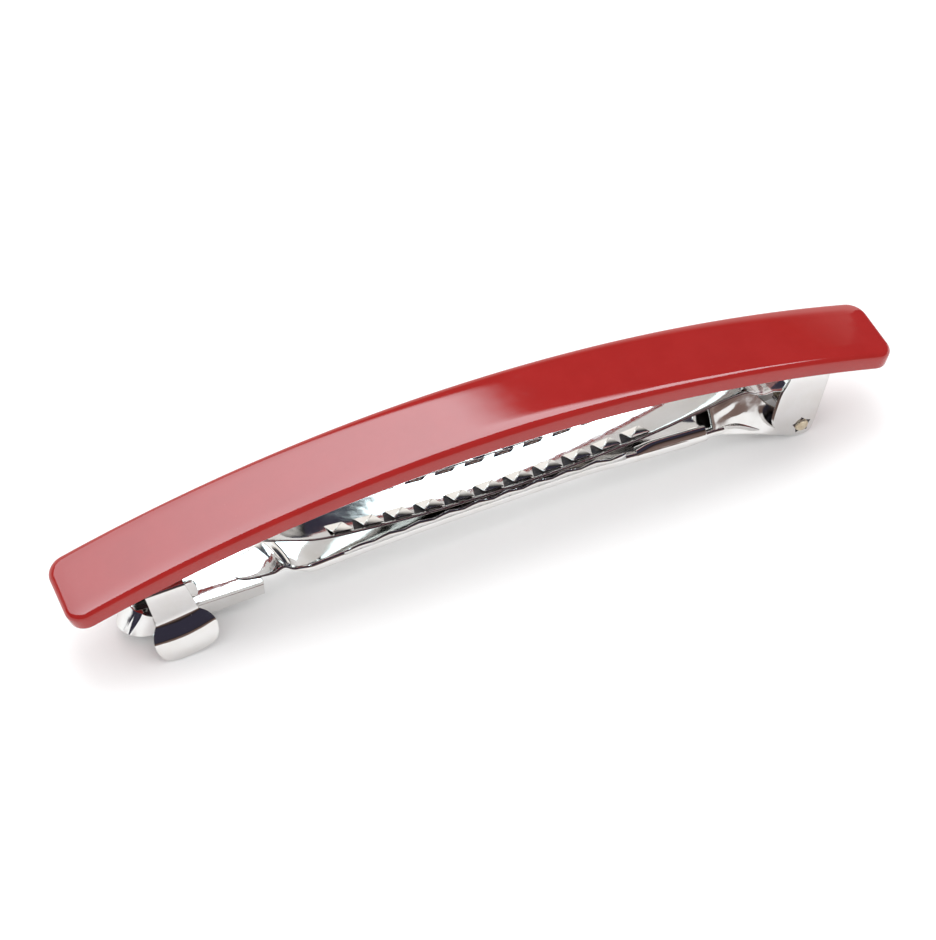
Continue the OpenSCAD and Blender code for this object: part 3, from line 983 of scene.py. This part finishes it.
def arm_ear():
    # along the arm, top, bottom, how far the top leans in
    rows = [(26.3, 6.9, 4.1, 1.4), (27.2, 7.6, 3.7, 2.1), (28.4, 7.95, 3.2, 2.5), (29.6, 8.1, 2.7, 2.75),
            (30.6, 7.85, 2.25, 2.8), (31.6, 6.9, 1.8, 2.5), (32.6, 5.5, 1.35, 1.9), (33.8, 4.1, 0.7, 1.1),
            (35.0, 3.35, 0.25, 0.4), (36.2, 3.2, 0.28, 0.0), (37.3, 3.0, 0.45, 0.0), (38.0, 2.55, 0.95, 0.0),
            (38.25, 2.1, 1.4, 0.0)]

    def point(row, across):
        x, top, bottom, lean = row
        z = between(bottom, top, across)
        return Vector((x, -(2.97 - lean * across ** 1.05 + press_marks(x, z)), z))

    return rows_of(rows, 12, point, NEAR_SIDE)


def make_arm_ears():
    make_arm_piece(mirrored(arm_ear), "arm_ears", smooth=1, thickness=0.4, rim=0.05)


def make_arm_heel():
    """The web's end, turned down between the ears: along the arm, height."""
    rows = [(27.6, 4.45), (29.0, 4.25), (30.2, 3.55), (31.4, 2.65), (32.6, 1.8)]
    heel = rows_of(rows, 4, lambda row, across: Vector((row[0], 5.6 * (across - 0.5), row[1])))
    make_arm_piece(heel, "arm_heel", smooth=1, thickness=ARM_T, rim=0.05)


# ---- tension bar ----------------------------------------------------------------

STRIP_T = 0.35
STRIP_HALF = 2.75
# The bow: its radius, and the height and place of its lowest point.
BOW_R = 150
BOW_LOW = 6.2
BOW_LOW_X = 1
# The hook round the pin: the radius of its outer face, and half its width.
HOOK_R = 0.98
HOOK_HALF = 1.7
TOOTH_COUNT = 11
FIRST_TOOTH_X = -18.0
# How near to the strip's middle line each row of teeth starts, drawn on the front side.
FRONT_TEETH_INNER = -1.0
REAR_TEETH_INNER = -1.85
# How far the painted-shade patches in the louvres lie above the strip.
RECESS_LIFT = 0.015


def bow_height(x):
    """Height of the sprung strip's top face along its bow."""
    return BOW_LOW + BOW_R - math.sqrt(BOW_R ** 2 - (x - BOW_LOW_X) ** 2)


def strip_crown(x, y):
    """How far the strip's top face falls away from its middle: it is slightly rounded, and twisted."""
    twist = read([(-27, 0.0), (-16, 0.02), (-9, 0.05), (18, 0.055), (29, 0.0)], x)
    return 0.03 * (y / STRIP_HALF) ** 2 - twist * y


def on_strip(x, y, lift=RECESS_LIFT):
    """A point just clear of the strip's top face, or lifted further off it."""
    return Vector((x, y, bow_height(x) - strip_crown(x, y) + lift))


def strip_rows():
    """The strip from its free end, along the bow, and round the pin: along, height of the top, half width."""
    rows = [(-27.45, 10.36, 0.55), (-27.3, 10.35, 1.25), (-26.9, 10.30, 1.9), (-26.2, 10.18, 2.4),
            (-25.2, 9.92, 2.68), (-24.0, 9.5, 2.75), (-22.5, 8.83, 2.75), (-21.0, 8.17, 2.75),
            (-19.8, 7.78, 2.75)]
    rows += [(x, bow_height(x), STRIP_HALF) for x in range(-18, 22, 2)]
    rows += [(23.2, 7.97, 2.75), (25.4, 8.32, 2.75), (27.6, 8.68, 2.75), (29.4, 8.86, 2.75),
             (30.2, 8.8, 2.75), (31.0, 8.45, 2.75), (31.9, 7.75, 2.7), (32.8, 7.2, 2.5), (33.9, 6.75, 1.9),
             (35.2, 6.0, 1.7)]
    # the hook: turn about the pin, and how far its lead-in lies off the circle
    hook = [(70, -0.1, 2.6), (55, 0.0, 1.2), (30, 0.0, 0.2)] + [(turn, 0, 0) for turn in range(0, -181, -30)]
    for turn, aside, lift in hook:
        angle = math.radians(turn)
        x = PIN.x + HOOK_R * math.cos(angle) + aside
        rows.append((x, PIN.z + HOOK_R * math.sin(angle) + lift, HOOK_HALF))
    return rows


def make_strip():
    # out from the middle as a share of the half width, how far the edge is rolled down
    section = both_halves([(0.0, 0.0), (0.5, 0.0), (0.88, 0.0), (0.97, 0.04), (1.0, 0.16)])

    def point(row, across):
        x, height, half = row
        side, drop = row_at(section, across)
        return Vector((x, side * half, height - drop - strip_crown(x, side * half)))

    strip = rows_of(strip_rows(), len(section) - 1, point)
    make_piece(strip, "sprung_strip", bright_nickel, "strip", "spring_strip", "tension_bar", smooth=2,
               thickness=STRIP_T, rim=0.05)


def patch(corners):
    """A four-sided patch on the strip, from its left and right corners by the edge and then by the middle."""
    return sheet(1, 1, lambda across, along: on_strip(*corners[2 * round(along) + round(across)]))


def tooth(x, inner):
    """A louvre struck up from the strip: open on the catch side, with its peak beside the strip's edge."""
    shape = patch([(x, -2.48, 0.48), (x + 2.2, -2.46, 0.3), (x - 0.6, inner, 0.03),
                   (x + 1.5, inner + 0.05, 0.02)])
    peak = [vert for vert in shape.verts if vert.co.y < -2.45 or vert.co.y > inner + 0.03]
    bmesh.ops.connect_verts(shape, verts=peak)
    ridge = [edge for edge in shape.edges if len(edge.link_faces) == 2]
    round_edges(shape, ridge, 0.09, 3)
    return facing(shape, UPWARDS)


def tooth_recess(x):
    """Painted shade: a dark patch for the shade in the opening behind a louvre's mouth, and a thin dark line
    for the shade in the fold from it to the next one.
    """
    mouth = patch([(x - 1.15, -2.42), (x + 0.5, -2.42), (x - 0.85, -1.12), (x + 0.35, -1.05)])
    line = sheet(2, 1, lambda across, along: on_strip(x + 0.9 + 1.4 * across, -2.54 + 0.05 * along))
    return join(mouth, line)


def over(shape):
    """Carries a shape across to the far side; its height follows the strip there."""
    for vert in shape.verts:
        vert.co.z += strip_crown(vert.co.x, vert.co.y) - strip_crown(vert.co.x, -vert.co.y)
    return facing(flipped(shape), UPWARDS)


def make_teeth():
    places = [FIRST_TOOTH_X + TOOTH_PITCH * step for step in range(TOOTH_COUNT)]
    front = join(*[tooth(x, FRONT_TEETH_INNER) for x in places])
    rear = join(*[over(tooth(x, REAR_TEETH_INNER)) for x in places])
    recesses = join(*[tooth_recess(x) for x in places])
    make_piece(join(front, rear), "strip_teeth", bright_nickel, "strip", "spring_strip", thickness=0.1)
    # the dark patches are painted shade in the louvres' mouths and folds
    make_piece(recesses, "strip_tooth_painted_shade", painted_shade_recess, "strip", "spring_strip")


# ---- making --------------------------------------------------------------------

def dress(node, material):
    """Gives a CAD node that stays as it is a finished material."""
    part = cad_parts[node]
    for slot in part.material_slots:
        slot.material = material
    if not part.material_slots:
        part.data.materials.append(material)


add_camera()
add_studio()
red_acetate = add_acetate()
bright_nickel = add_nickel()
peened_pin = add_pin_metal()
painted_shade_recess = add_recess()
clear_film = add_film()
dress("adhesive_film", clear_film)
make_bar()
make_base()
make_hinge_ears()
make_pin()
make_bridge()
make_base_step()
make_legs()
make_channel()
make_web()
make_web_lips()
make_side_rolls()
make_arm_ears()
make_arm_heel()
make_strip()
make_teeth()
make_pin_seats()
